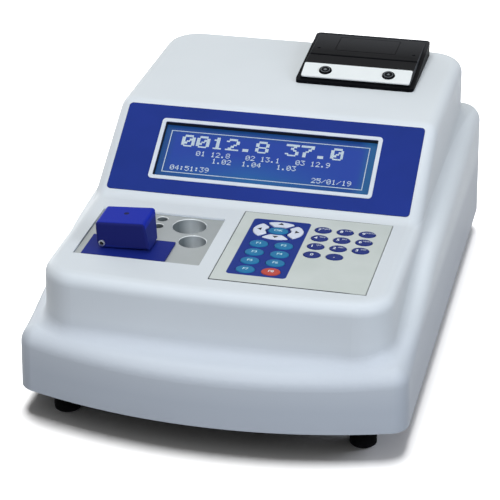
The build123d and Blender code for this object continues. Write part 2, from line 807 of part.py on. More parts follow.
# Printer lid: a shallow hollow flap with two arms that carry the platen roller
arm_inner = platen_half + 0.5
arm_thick = 1.6
arm_radius = 2.6
lid_panel = (41.0, 24.0)
lid_panel_mid = (-0.5, 20.4)
lid_dimple_x = 32.0
with BuildPart() as printer_lid:
    add(printer_prism(
        [(lid_front[0], lid_skirt_z), (lid_back[0], lid_skirt_z), lid_back, lid_front], inner_half,
    ))
    fillet(printer_lid.edges().filter_by(Axis.X).sort_by(Axis.Z)[-2:], 0.6)
    add(printer_prism(
        [(lid_front[0] - 1, lid_skirt_z - 1), (lid_back[0] + 1, lid_skirt_z - 1),
         (lid_back[0] + 1, lid_back[1] - lid_wall), (lid_front[0] - 1, lid_front[1] - lid_wall)],
        inner_half - lid_wall,
    ), mode=Mode.SUBTRACT)
    with BuildSketch(Plane.YZ.offset(printer_x - arm_inner - arm_thick)):
        with Locations(platen_axis):
            Circle(arm_radius)
        with Locations((platen_axis[0], (platen_axis[1] + lid_front[1]) / 2 - 0.2)):
            Rectangle(2 * arm_radius, lid_front[1] - platen_axis[1] - 0.6)
    extrude(amount=2 * (arm_inner + arm_thick))
    add(printer_prism(
        [(platen_axis[0] - arm_radius - 1, platen_axis[1] - arm_radius - 1),
         (platen_axis[0] + arm_radius + 1, platen_axis[1] - arm_radius - 1),
         (platen_axis[0] + arm_radius + 1, lid_front[1] - lid_wall),
         (platen_axis[0] - arm_radius - 1, lid_front[1] - lid_wall)], arm_inner,
    ), mode=Mode.SUBTRACT)
    with BuildSketch(Plane.YZ.offset(printer_x)):
        with Locations(platen_axis):
            Circle(platen_shaft + running_gap)
    extrude(amount=arm_inner + arm_thick + 1, both=True, mode=Mode.SUBTRACT)
    with BuildSketch(Plane.YZ.offset(printer_x)):
        with Locations(lid_hinge):
            Circle(lid_pin_radius + running_gap)
    extrude(amount=inner_half + 1, both=True, mode=Mode.SUBTRACT)
    with BuildSketch(lid_plane):
        with Locations(lid_panel_mid):
            RectangleRounded(lid_panel[0], lid_panel[1], 1.5)
            RectangleRounded(lid_panel[0] - 1.2, lid_panel[1] - 1.2, 1, mode=Mode.SUBTRACT)
        with Locations((-lid_dimple_x, 10), (lid_dimple_x, 10)):
            Circle(1.1)
    extrude(amount=-0.4, mode=Mode.SUBTRACT)
save(printer_lid, "printer_lid")

with BuildPart() as lid_hinge_pin:
    with BuildSketch(Plane.YZ.offset(printer_x)):
        with Locations(lid_hinge):
            Circle(lid_pin_radius)
    extrude(amount=lid_pin_end, both=True)
save(lid_hinge_pin, "lid_hinge_pin")

with BuildPart() as platen_roller:
    with BuildSketch(Plane.YZ.offset(printer_x)):
        with Locations(platen_axis):
            Circle(platen_radius)
    extrude(amount=platen_half, both=True)
    with BuildSketch(Plane.YZ.offset(printer_x)):
        with Locations(platen_axis):
            Circle(platen_shaft)
    extrude(amount=arm_inner + arm_thick, both=True)
save(platen_roller, "platen_roller")

with BuildPart() as print_head:
    add(printer_prism(
        [(head_back, head_base), (head_face, head_base), (head_face, head_top - 1.5),
         (head_face - 1.5, head_top), (head_back, head_top)], platen_half,
    ))
save(print_head, "print_head")

with BuildPart() as paper_roll:
    with BuildSketch(Plane.YZ.offset(printer_x)):
        with Locations(roll_axis):
            Circle(roll_radius)
            Circle(roll_core, mode=Mode.SUBTRACT)
    extrude(amount=roll_half, both=True)
save(paper_roll, "paper_roll")

# Electronics on the tray
board_z = foot_height + tray_thick + post_height
with BuildPart() as main_board:
    with BuildSketch(Plane.XY.offset(board_z)):
        with Locations(board_mid):
            Rectangle(*board_size)
            with GridLocations(board_size[0] - 10, board_size[1] - 10, 2, 2):
                Circle(1.6, mode=Mode.SUBTRACT)
    extrude(amount=board_thick)
    with BuildSketch(Plane.XY.offset(board_z + board_thick)):
        with Locations((board_mid[0] - 20, board_mid[1])):
            Rectangle(22, 22)
        with Locations((board_mid[0] + 25, board_mid[1] + 15)):
            Rectangle(36, 12)
    extrude(amount=3)
    with BuildSketch(Plane.XY.offset(board_z + board_thick)):
        with Locations((board_mid[0] + 30, board_mid[1] - 30)):
            with GridLocations(22, 0, 2, 1):
                Rectangle(16, 6)
        with Locations((board_mid[0] - 45, board_mid[1] + 30)):
            Circle(6)
    extrude(amount=9)
save(main_board, "main_board")

with BuildPart() as power_supply:
    with BuildSketch(Plane.XY.offset(foot_height + tray_thick)):
        with Locations((58, 112)):
            Rectangle(56, 64)
    extrude(amount=34)
    with BuildSketch(Plane.XY.offset(foot_height + tray_thick + 34)):
        with Locations((58, 112)):
            with GridLocations(0, 8, 1, 6):
                SlotOverall(40, 3)
    extrude(amount=-1.5, mode=Mode.SUBTRACT)
save(power_supply, "power_supply")

# Rear connectors: mains inlet, rocker switch and serial port, all through the rear panel
panel_face = panel_y + panel_thick
with BuildPart() as power_inlet:
    with BuildSketch(Plane.XZ.offset(-panel_face)):
        with Locations((inlet_x, rear_window_z)):
            RectangleRounded(31, 24, 2.5)
    extrude(amount=-2.5)
    with BuildSketch(Plane.XZ.offset(-panel_face)):
        with Locations((inlet_x, rear_window_z)):
            Rectangle(27, 19.6)
    extrude(amount=17)
    with BuildSketch(Plane.XZ.offset(-panel_face - 2.5)) as socket:
        with Locations((inlet_x, rear_window_z)):
            Rectangle(24, 16.4)
        chamfer(socket.vertices().group_by(Axis.Y)[-1], 4.5)
    extrude(amount=16.5, mode=Mode.SUBTRACT)
    with BuildSketch(Plane.XZ.offset(-panel_face + 14)):
        with Locations([(inlet_x + x, rear_window_z + z) for x, z in ((-7, -2), (7, -2), (0, 2))]):
            Rectangle(2, 4)
    extrude(amount=-11)
save(power_inlet, "power_inlet")

rocker_axis = (panel_face - 1.5, rear_window_z)
with BuildPart() as switch_frame:
    with BuildSketch(Plane.XZ.offset(-panel_face)):
        with Locations((rocker_x, rear_window_z)):
            RectangleRounded(21, 15, 1)
    extrude(amount=-1.6)
    with BuildSketch(Plane.XZ.offset(-panel_face)):
        with Locations((rocker_x, rear_window_z)):
            Rectangle(19, 13)
    extrude(amount=14)
    with BuildSketch(Plane.XZ.offset(-panel_face - 1.6)):
        with Locations((rocker_x, rear_window_z)):
            Rectangle(17, 11)
    extrude(amount=9.6, mode=Mode.SUBTRACT)
    with BuildSketch(Plane.YZ.offset(rocker_x - 9)):
        with Locations(rocker_axis):
            Circle(1.0 + running_gap)
    extrude(amount=18, mode=Mode.SUBTRACT)
save(switch_frame, "switch_frame")

with BuildPart() as power_rocker:
    with BuildSketch(Plane.YZ.offset(rocker_x - 8.3)):
        with BuildLine():
            Polyline(
                (panel_face - 3.5, rear_window_z - 2.5), (panel_face + 0.6, rear_window_z - 4.9),
                (panel_face + 1.2, rear_window_z - 4.8), (panel_face + 1.9, rear_window_z),
                (panel_face + 3.0, rear_window_z + 4.2), (panel_face + 1.0, rear_window_z + 4.7),
                (panel_face - 3.5, rear_window_z + 2.5), close=True,
            )
        make_face()
    extrude(amount=16.6)
    with BuildSketch(Plane.YZ.offset(rocker_x - 8.9)):
        with Locations(rocker_axis):
            Circle(1.0)
    extrude(amount=17.8)
save(power_rocker, "power_rocker")

with BuildPart() as serial_port:
    with BuildSketch(Plane.XZ.offset(-panel_face)):
        with Locations((serial_x, rear_window_z)):
            RectangleRounded(30.8, 12.5, 1)
    extrude(amount=-0.8)
    with BuildSketch(Plane.XZ.offset(-panel_face)) as shell:
        with Locations((serial_x, rear_window_z)):
            Trapezoid(18.6, 9.6, 80, rotation=180)
        fillet(shell.vertices(), 2)
    extrude(amount=-6.2)
    with BuildSketch(Plane.XZ.offset(-panel_face - 6.2)) as socket:
        with Locations((serial_x, rear_window_z)):
            Trapezoid(17.2, 8.2, 80, rotation=180)
        fillet(socket.vertices(), 1.4)
    extrude(amount=5.4, mode=Mode.SUBTRACT)
    with BuildSketch(Plane.XZ.offset(-panel_face - 0.8)):
        with Locations((serial_x - 1.38, rear_window_z + 1.4)):
            with GridLocations(2.76, 0, 4, 1):
                Rectangle(1, 1)
        with Locations((serial_x - 1.38, rear_window_z - 1.4)):
            with GridLocations(2.76, 0, 5, 1):
                Rectangle(1, 1)
    extrude(amount=-4)
    with BuildSketch(Plane.XZ.offset(-panel_face - 0.8)):
        with Locations((serial_x - 12.5, rear_window_z), (serial_x + 12.5, rear_window_z)):
            RegularPolygon(2.7, 6)
    extrude(amount=-4.5)
    with BuildSketch(Plane.XZ.offset(-panel_face)):
        with Locations((serial_x, rear_window_z)):
            Rectangle(19.6, 10.4)
    extrude(amount=10)
save(serial_port, "serial_port")

# Cooling fan behind the slots of the rear panel
fan_bore = 18.8
hub_radius = 8.0
blade_tip = 17.6
blade_count = 7
blade_pitch = radians(35)
fan_back = panel_y - fan_depth
with BuildPart() as fan_frame:
    with BuildSketch(Plane.XZ.offset(-panel_y)):
        with Locations((fan_x, rear_window_z)):
            RectangleRounded(fan_size, fan_size, 3)
            Circle(fan_bore, mode=Mode.SUBTRACT)
            with GridLocations(32, 32, 2, 2):
                Circle(1.7, mode=Mode.SUBTRACT)
    extrude(amount=fan_depth)
    with BuildSketch(Plane.XZ.offset(-fan_back - 1.6)):
        with Locations((fan_x, rear_window_z)):
            Circle(hub_radius)
            for angle in (45, 165, 285):
                with PolarLocations(hub_radius + (fan_bore - hub_radius) / 2, 1, angle):
                    Rectangle(fan_bore - hub_radius + 2, 2.4)
    extrude(amount=1.6)
    with BuildSketch(Plane.XZ.offset(-fan_back - 4.6)):
        with Locations((fan_x, rear_window_z)):
            Circle(2.4)
            Circle(1.0 + running_gap, mode=Mode.SUBTRACT)
    extrude(amount=3)
save(fan_frame, "fan_frame")

with BuildPart() as fan_rotor:
    with BuildSketch(Plane.XZ.offset(-panel_y + 0.8)):
        with Locations((fan_x, rear_window_z)):
            Circle(hub_radius)
    extrude(amount=6.8)
    with BuildSketch(Plane.XZ.offset(-panel_y + 2.0)):
        with Locations((fan_x, rear_window_z)):
            Circle(hub_radius - 1)
    extrude(amount=5.6, mode=Mode.SUBTRACT)
    with BuildSketch(Plane.XZ.offset(-panel_y + 2.0)):
        with Locations((fan_x, rear_window_z)):
            Circle(1.0)
    extrude(amount=5.9)
    for blade in range(blade_count):
        turn = 2 * pi / blade_count * blade
        blade_plane = Plane(
            origin=(fan_x, panel_y - 4.4, rear_window_z),
            x_dir=(cos(turn), 0, sin(turn)),
            z_dir=(-sin(blade_pitch) * sin(turn), -cos(blade_pitch), sin(blade_pitch) * cos(turn)),
        )
        with BuildSketch(blade_plane.offset(-0.6)):
            with Locations(((hub_radius + blade_tip) / 2 - 0.4, 0)):
                Rectangle(blade_tip - hub_radius + 0.6, 7.4)
        extrude(amount=1.2)
save(fan_rotor, "fan_rotor")
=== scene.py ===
from math import cos, pi, radians, sin

import bpy
import numpy as np
from mathutils import Matrix, Vector


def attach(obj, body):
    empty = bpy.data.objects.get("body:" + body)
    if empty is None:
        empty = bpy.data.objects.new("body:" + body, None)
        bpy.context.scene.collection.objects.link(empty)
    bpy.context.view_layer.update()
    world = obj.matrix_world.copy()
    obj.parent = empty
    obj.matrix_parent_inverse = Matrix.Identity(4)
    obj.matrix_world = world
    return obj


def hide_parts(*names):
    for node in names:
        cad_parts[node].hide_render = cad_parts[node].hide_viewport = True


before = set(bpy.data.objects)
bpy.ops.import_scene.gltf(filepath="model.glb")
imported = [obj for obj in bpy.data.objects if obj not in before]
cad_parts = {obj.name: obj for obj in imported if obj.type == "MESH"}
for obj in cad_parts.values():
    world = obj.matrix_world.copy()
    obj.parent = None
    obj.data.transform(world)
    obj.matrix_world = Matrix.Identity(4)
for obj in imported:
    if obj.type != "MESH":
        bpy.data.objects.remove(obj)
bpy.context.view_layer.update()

# Case: a stepped base and a console in one moulding of pale, slightly blue plastic with a fine satin
# texture. Every other piece sits in it or on it, and four screws from below hold it on its tray.
# Painted shade makes the deck and slope a little darker than the console's walls, and the base darker
# from the ledge down towards its foot and again on its flanks by the ledge. The base is also darker in
# patches along its lower edge.


class Wire:
    """A socket of a material's nodes: arithmetic on it adds Math nodes, node() adds any other kind."""

    def __init__(self, tree, socket=None):
        self.tree, self.socket = tree, socket

    def feed(self, socket, value):
        """Links a wire into the socket, or sets it to a number, or to a colour given as its code."""
        if isinstance(value, Wire):
            self.tree.links.new(value.socket, socket)
        else:
            socket.default_value = linear(value) if isinstance(value, str) else value

    def node(self, kind, settings=None, out=0, **feeds):
        """A new node: its settings go first, then a value or a wire into each socket named."""
        made = self.tree.nodes.new("ShaderNode" + kind)
        for name, value in (settings or {}).items():
            setattr(made, name, value)
        for name, value in feeds.items():
            socket = next(s for s in made.inputs if name in (s.identifier, s.name.replace(" ", "_")))
            self.feed(socket, value)
        return Wire(self.tree, made.outputs[out] if made.outputs else None)

    def maths(self, operation, *values):
        """A Math node on one or more values."""
        names = ("Value", "Value_001", "Value_002")
        return self.node("Math", {"operation": operation}, **dict(zip(names, values)))

    def __add__(self, other):
        return self.maths("ADD", self, other)

    def __radd__(self, other):
        return self.maths("ADD", other, self)

    def __sub__(self, other):
        return self.maths("SUBTRACT", self, other)

    def __rsub__(self, other):
        return self.maths("SUBTRACT", other, self)

    def __mul__(self, other):
        return self.maths("MULTIPLY", self, other)

    def __rmul__(self, other):
        return self.maths("MULTIPLY", other, self)

    def __truediv__(self, other):
        return self.maths("DIVIDE", self, other)

    def __rtruediv__(self, other):
        return self.maths("DIVIDE", other, self)

    def __abs__(self):
        return self.maths("ABSOLUTE", self)

    def high(self, other):
        """The higher of the two."""
        return self.maths("MAXIMUM", self, other)

    def step(self, start, end):
        """0 before start, 1 after end, straight between."""
        return self.node("MapRange", Value=self, From_Min=start, From_Max=end)

    def axis(self, number):
        """One part of this vector: 0 across, 1 to the rear, 2 up."""
        return self.node("SeparateXYZ", out=number, Vector=self)

    def mix(self, first, second):
        """A colour that goes from the first to the second as this mask goes from 0 to 1."""
        return self.node("Mix", {"data_type": "RGBA"}, out=2,
                         Factor_Float=self, A_Color=first, B_Color=second)

    def tint(self, colour, amount):
        """This colour going over to the other by the amount, a mask."""
        return amount.mix(self, colour)


def linear(code):
    """A colour written as six hexadecimal digits of sRGB, as the linear numbers a shader takes."""
    part = np.array([int(code[i:i + 2], 16) for i in (0, 2, 4)]) / 255
    light = np.where(part < 0.04045, part / 12.92, ((part + 0.055) / 1.055) ** 2.4)
    return (*light.tolist(), 1.0)


def finish(name, **shader):
    """A material with one Principled shader, and its object coordinates in metres as a wire."""
    material = bpy.data.materials.new(name)
    material.use_nodes = True
    material.node_tree.nodes.clear()
    start = Wire(material.node_tree)
    start.node("OutputMaterial", Surface=start.node("BsdfPrincipled", **shader))
    return material, start.node("TexCoord", out=3)


def dress(material, **feeds):
    """Feeds wires into the sockets of the material's shader."""
    shader = material.node_tree.nodes["Principled BSDF"]
    for name, value in feeds.items():
        Wire(material.node_tree).feed(shader.inputs[name.replace("_", " ")], value)


def grain(at, size, detail=2.0, stretch=(1, 1, 1)):
    """Noise about 0.5 whose lumps are size metres across, drawn out along the larger stretches."""
    scaled = at.node("Mapping", Vector=at, Scale=tuple(1 / s for s in stretch))
    return scaled.node("TexNoise", Vector=scaled, Scale=1 / size, Detail=detail)


def bump(height, depth, strength=0.5):
    """A normal bent by a height from 0 to 1 that stands for the depth in metres."""
    return height.node("Bump", Height=height, Distance=depth, Strength=strength)


def skin(texture, smoothest, rougher, depth, strength=0.5):
    """Feeds from one texture: its peaks are rougher than the smoothest, and stand up by the depth."""
    return {"Roughness": smoothest + texture * rougher, "Normal": bump(texture, depth, strength)}


def wear(material, *nodes):
    """Gives CAD nodes a finish of the scene's own."""
    for node in nodes:
        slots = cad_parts[node].data.materials
        slots.clear()
        slots.append(material)


lower_edge, base_low, ledge, ledge_high = 0.016, 0.030, 0.056, 0.066
deck_low, deck_high, slope_mid, slope_high = 0.0905, 0.0915, 0.10, 0.12
console_side, base_side = 0.106, 0.114
satin, at = finish("case_satin", IOR=1.46, Specular_IOR_Level=0.16)
height = at.axis(2)
flank = abs(at.axis(0)).step(console_side, base_side)
# Painted shade: the deck and slope, the ledge, the base below it and the base's flanks by the ledge are
# tinted darker.
deck_and_slope = height.step(deck_low, deck_high) * height.step(slope_high, slope_mid)
# Darker patches towards the lower edge.
low_patches = (height.step(base_low, lower_edge) * grain(at, 0.02, detail=4.0)).step(0.2, 0.9)
colour = grain(at, 0.09).step(0.35, 0.65).mix("e4eaee", "e0e6ea")
for shade, amount in (
    ("dbe1e5", deck_and_slope),
    ("d8dee4", height.step(ledge_high, ledge)),
    ("bcc4ce", height.step(ledge, base_low) * 0.75),
    ("b4bbc4", height.step(ledge + 0.004, ledge - 0.004) * flank * 0.6),
    ("b9bfc8", low_patches * 0.5),
):
    colour = colour.tint(shade, amount)
dress(satin, Base_Color=colour,
      **skin(grain(at, 0.0011, detail=3.0), smoothest=0.36, rougher=0.14, depth=0.00004))
wear(satin, "housing_shell")

# Tray: the floor of the instrument and its rear panel, folded from one steel sheet. Its dark grey
# powder coat has dried with a fine orange-peel skin.
coat, at = finish("tray_coat", Specular_IOR_Level=0.2)
dress(coat, Base_Color=grain(at, 0.02).mix("2b2c2f", "333437"),
      **skin(grain(at, 0.0012), smoothest=0.52, rougher=0.2, depth=0.00006))
wear(coat, "base_tray")

# Power supply: a box folded from zinc-plated sheet, fixed to the tray inside the case. The plating
# shows a soft spangle, and the sheet the lines of its rolling.
spangles_per_metre, spangle_share = 180.0, 0.08
zinc, at = finish("tray_zinc", Metallic=1.0)
spangle = at.node("TexVoronoi", {"feature": "F1"}, out=1, Vector=at, Scale=spangles_per_metre)
plating = at.node("Mix", {"data_type": "RGBA"}, out=2,
                  Factor_Float=spangle_share, A_Color="b6babd", B_Color=spangle)
lines = grain(at, 0.0006, stretch=(40, 1, 1))
dress(zinc, Base_Color=plating, **skin(lines, smoothest=0.32, rougher=0.2, depth=0.00002, strength=0.4))
wear(zinc, "power_supply")

# Feet: four tapered plugs moulded in black rubber, each held under the tray by a sunk screw. They are
# dull, and dusty near the bench. The printer's platen roller is covered with the same rubber.
dust_height = 0.006
rubber, at = finish("foot_rubber", Specular_IOR_Level=0.05)
dusty = grain(at, 0.004, detail=4.0)
near_bench = at.axis(2).step(dust_height, 0.0)
dress(rubber, Base_Color=(dusty.step(0.45, 0.75) * near_bench * 0.5).mix("060607", "262627"),
      Roughness=0.62 + dusty * 0.25, Normal=bump(grain(at, 0.0005), depth=0.00005))
wear(rubber, "rubber_feet", "platen_roller")

# Screws, hinge pins and the shell of the serial port: bright steel, turned or pressed to shape, with
# the fine marks of the tools.
steel, at = finish("bright_steel", Metallic=1.0)
marks = grain(at, 0.0004, detail=3.0)
dress(steel, Base_Color=marks.step(0.3, 0.7).mix("c9cbcd", "b4b7ba"), Roughness=0.2 + marks * 0.18)
wear(steel, "foot_screws", "case_screws", "lcd_screws", "block_screws", "cover_hinge_pin",
     "lid_hinge_pin", "serial_port")

# Display label: a film printed blue all over and glued to the sloping face. It has a slight sheen,
# and along its cut edge a painted shade shows as a darker line.
slope, crease_y, crease_z = radians(31.15), -0.039, 0.092
label_mid, label_half, label_corner = (0, 0.03865), (0.0949, 0.03345), 0.0024


def face_place(at):
    """Wires (x, s) on the sloping face: x across, s up the slope from the crease at its foot."""
    return at.axis(0), (at.axis(1) - crease_y) * cos(slope) + (at.axis(2) - crease_z) * sin(slope)


def oblong(x, y, mid, half, corner, soft=0.00015):
    """1 inside a round-cornered oblong: a point's distance from its inner oblong, less the corner."""
    over_x = (abs(x - mid[0]) - (half[0] - corner)).high(0.0)
    over_y = (abs(y - mid[1]) - (half[1] - corner)).high(0.0)
    gap = over_x.maths("SQRT", over_x * over_x + over_y * over_y) - corner
    return gap.step(soft, -soft)


film, at = finish("label_film", Specular_IOR_Level=0.04)
# Painted shade: a darker line along the label's edge.
edge = 1 - oblong(*face_place(at), label_mid, label_half, label_corner)
dress(film, Base_Color=grain(at, 0.03).step(0.3, 0.7).mix("1d3382", "20368b").tint("17296c", edge),
      **skin(grain(at, 0.0009, detail=3.0), smoothest=0.27, rougher=0.12, depth=0.00001, strength=0.4))
wear(film, "display_label")

# Window rim: a frame moulded in pale grey plastic with a fine dull skin, set in the label's window
# round the display.
rim, at = finish("rim_plastic")
dress(rim, Base_Color=grain(at, 0.02).step(0.3, 0.7).mix("d3dae2", "cbd3dc"),
      **skin(grain(at, 0.001, detail=3.0), smoothest=0.34, rougher=0.12, depth=0.00002, strength=0.4))
wear(rim, "window_frame")

# Display module: a metal bezel in black enamel, as the print head has, round a blue liquid crystal
# glass that is lit from behind, greener below and at its right end. The dots that are on are one pale
# mesh just over the glass.
enamel, at = finish("black_enamel")
speck = grain(at, 0.0008, detail=3.0)
dress(enamel, Base_Color=speck.mix("0e0f12", "1a1b1f"),
      **skin(speck, smoothest=0.42, rougher=0.2, depth=0.00002))
wear(enamel, "lcd_bezel", "print_head")

dots_mid, lit_half = (-0.0005, 0.0394), (0.062, 0.0155)
end_inner, end_outer, low_upper, low_lower = 0.056, 0.062, 0.040, 0.024
glass, at = finish("liquid_crystal", Roughness=0.12, Specular_IOR_Level=0.05, Emission_Strength=0.3)
x, s = face_place(at)
inside = oblong(x, s, dots_mid, lit_half, corner=0.003, soft=0.004)
right_end = x.step(end_inner, end_outer) * (1 - inside)
below = s.step(low_upper, low_lower) * (1 - abs(x + 0.01).step(0.0, 0.06))
field = inside.mix("1a4174", "223b8e").tint("2a608f", right_end * 0.7).tint("226190", below * 0.6)
field = field.tint("20398e", grain(at, 0.05).step(0.5, 0.8) * 0.3)
dress(glass, Base_Color=field, Emission_Color=field)
wear(glass, "lcd_glass")

dot_rows, dot_columns, dot_pitch = 64, 240, 0.00053
dot_half = dot_pitch * 0.47
glass_out, dot_lift = -0.0024, 0.00006
frame_top, frame_foot = 2, 62
figure_rows, figure_columns = 7, 5
figures = {  # seven rows of five dots, each row written as two hexadecimal digits
    "0": "0e11131519110e", "1": "040c040404040e", "2": "0e11010204081f", "3": "1f02040201110e",
    "4": "02060a121f0202", "5": "1f101e0101110e", "6": "0608101e11110e", "7": "1f010204080808",
    "8": "0e11110e11110e", "9": "0e11110f01020c", ":": "000c0c000c0c00", "/": "00010204081000",
    ".": "00000000000c0c", " ": "00000000000000",
}
screen_lines = (  # the words, their first row and column, and how many rows and columns a figure has
    ("0012.8 37.0", 7, 15, 17, 15), ("01 12.8   02 13.1   03 12.9", 29, 36, 7, 5),
    ("1.02  1.04   1.03", 38, 57, 7, 5), ("04:51:39", 52, 9, 7, 5), ("25/01/19", 52, 179, 7, 5),
)


def dot_text(words, rows, columns):
    """Lit dots of a line of figures: each is its small pattern stretched to the rows and columns."""
    tall = np.arange(rows) * figure_rows // rows
    wide = np.arange(columns) * figure_columns // columns
    blocks = []
    for letter in words:
        bits = np.frombuffer(bytes.fromhex(figures[letter]), np.uint8)
        cell = (bits[:, None] >> np.arange(figure_columns - 1, -1, -1)) & 1
        blocks += [cell[tall][:, wide], np.zeros((rows, columns // figure_columns), int)]
    return np.hstack(blocks[:-1])


def lit_dots():
    """The display's picture as a grid of 0 and 1: a frame line, a large bold reading, smaller lines."""
    grid = np.zeros((dot_rows, dot_columns), int)
    grid[[frame_top, frame_foot], :] = 1
    grid[frame_top:frame_foot + 1, [0, -1]] = 1
    for words, top, left, rows, columns in screen_lines:
        block = dot_text(words, rows, columns)
        if rows > figure_rows:
            block[:, 1:] |= block[:, :-1].copy()
        grid[top:top + rows, left:left + block.shape[1]] = block
    return grid


def on_face(x, s, d):
    """Points of the sloping face: x across, s up the slope, d out of it."""
    y = crease_y + s * cos(slope) - d * sin(slope)
    z = crease_z + s * sin(slope) + d * cos(slope)
    return np.stack(np.broadcast_arrays(x, y, z), -1).reshape(-1, 3)


def add_piece(name, mesh, material, body, stands_for=None, slot=None):
    """Puts a mesh into the scene in its finish, riding on its body."""
    mesh.materials.clear()
    mesh.materials.append(material)
    piece = bpy.data.objects.new(name, mesh)
    bpy.context.scene.collection.objects.link(piece)
    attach(piece, body)
    if stands_for:
        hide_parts(stands_for)


def shape(name, points, faces, material, body, smooth=False, **part):
    """A piece from its points and faces, shaded flat unless it is smooth."""
    mesh = bpy.data.meshes.new(name)
    mesh.from_pydata(points.tolist(), [], faces)
    mesh.polygons.foreach_set("use_smooth", np.full(len(mesh.polygons), smooth))
    mesh.update()
    add_piece(name, mesh, material, body, **part)


lit, at = finish("lit_dots", Roughness=0.4, Emission_Strength=0.1, Specular_IOR_Level=0.1)
glow = grain(at, 0.006).mix("b7c8d2", "c6d3d8")
dress(lit, Base_Color=glow, Emission_Color=glow)
rows, columns = np.nonzero(lit_dots())
mid_x = dots_mid[0] + (columns - (dot_columns - 1) / 2) * dot_pitch
mid_s = dots_mid[1] - (rows - (dot_rows - 1) / 2) * dot_pitch
corners = np.array([(-1, -1), (1, -1), (1, 1), (-1, 1)]) * dot_half
points = on_face(mid_x[:, None] + corners[:, 0], mid_s[:, None] + corners[:, 1], glass_out + dot_lift)
shape("display_dots", points, np.arange(len(points)).reshape(-1, 4).tolist(), lit, "housing",
      slot="lcd_blue")

# Keypad: a printed film over the key circuit, pale with a blue field behind the left keys, and with a
# painted shade along its cut edge, fainter towards the right end. Each key is a low dome pressed up in
# the film and printed in its own colour, with flat words and marks laid on it.
pad_mid, pad_half, edge_width = (0.0415, -0.0906), (0.0454, 0.0470), 0.00035
field_mid, field_half = (0.0214, -0.0902), (0.0176, 0.0382)
key_top, key_foot = 0.0927, 0.0914
ink_height = key_top + 0.00003

overlay, at = finish("keypad_film", Specular_IOR_Level=0.06)
x, y = at.axis(0), at.axis(1)
field = oblong(x, y, field_mid, field_half, corner=0.0024)
inner_half = (pad_half[0] - edge_width, pad_half[1] - edge_width)
# Painted shade: a dark line along the film's edge where it meets the case, fainter at the right end.
edge = 1 - oblong(x, y, pad_mid, inner_half, corner=0.0003)
fainter_right = 1 - x.step(0.075, 0.08) * 0.6
colour = grain(at, 0.02).step(0.3, 0.7).mix("c9d0cb", "d0d6d2").tint("1c3384", field)
dress(overlay, Base_Color=colour.tint("3a4043", edge * fainter_right),
      **skin(grain(at, 0.0005), smoothest=0.34, rougher=0.16, depth=0.00001))
wear(overlay, "keypad_overlay", "keypad_circuit")


def key_finish(name, first, second):
    """Printed film over a key: two near shades of its colour in faint clouds, with a dull skin."""
    made, at = finish(name, Specular_IOR_Level=0.08)
    dress(made, Base_Color=grain(at, 0.006).mix(first, second),
          **skin(grain(at, 0.0005), smoothest=0.34, rougher=0.16, depth=0.00001))
    return made


navy = key_finish("key_navy", "212f72", "27357a")
teal = key_finish("key_teal", "2372a0", "2a7ba8")
orange = key_finish("key_orange", "b8483e", "c05147")
white = key_finish("key_white", "d5dcea", "dde3ee")
ink_white = key_finish("ink_white", "dfe6ee", "e6ecf2")
ink_cyan = key_finish("ink_cyan", "b4dde9", "c2e5ee")
ink_dark = key_finish("ink_dark", "101218", "16181f")


def domed_key(node, outline, mid, material):
    """A key from its outline: rings drawn in towards its middle, the first two upright, the next ones
    round its rim and the rest on a shallow dome, closed by a fan of faces at its top and its foot."""
    reach = np.array([1.0, 1.0, 0.985, 0.95, 0.9, 0.75, 0.5, 0.25])
    drop = np.array([0.0005, 0.0003, 0.00014, 0.00008, 0.00004, 0.00001, 0.0])
    rise = np.array([key_foot, *(key_top - drop)])
    rings, count = len(reach), len(outline)
    flat = mid + (outline - mid) * reach[:, None, None]
    points = np.dstack([flat, np.repeat(rise[:, None], count, 1)]).reshape(-1, 3)
    points = np.vstack([points, [*mid, key_top], [*mid, key_foot]])
    i = np.arange(count)
    j = np.roll(i, -1)
    start, last, top = np.arange(rings - 1)[:, None] * count, (rings - 1) * count, rings * count
    walls = np.stack([start + i, start + j, start + count + j, start + count + i], -1).reshape(-1, 4)
    crown = np.stack([last + i, last + j, np.full(count, top)], -1)
    foot = np.stack([j, i, np.full(count, top + 1)], -1)
    faces = walls.tolist() + crown.tolist() + foot.tolist()
    shape(f"dome_{node}", points, faces, material, node, smooth=True, stands_for=node)


oval_points = 64


def oval(mid, half):
    """An oval outline about mid: its half sizes times the cosine and the sine of the turn."""
    turn = np.linspace(0, 2 * pi, oval_points, endpoint=False)
    return np.stack([mid[0] + half[0] * np.cos(turn), mid[1] + half[1] * np.sin(turn)], -1)


def lettering(name, words, mid, size, material, body, bold=0.0):
    """Flat words laid on a key: a text curve made a mesh, and its place then added to its points."""
    curve = bpy.data.curves.new(name, "FONT")
    curve.body = words
    curve.align_x, curve.align_y = "CENTER", "CENTER"
    curve.size, curve.offset = size, bold
    holder = bpy.data.objects.new(name, curve)
    mesh = bpy.data.meshes.new_from_object(holder)
    bpy.data.objects.remove(holder)
    place = np.empty(len(mesh.vertices) * 3)
    mesh.vertices.foreach_get("co", place)
    place = place.reshape(-1, 3) + (mid[0], mid[1], ink_height)
    mesh.vertices.foreach_set("co", place.ravel())
    mesh.update()
    add_piece(name, mesh, material, body, slot="key_white")


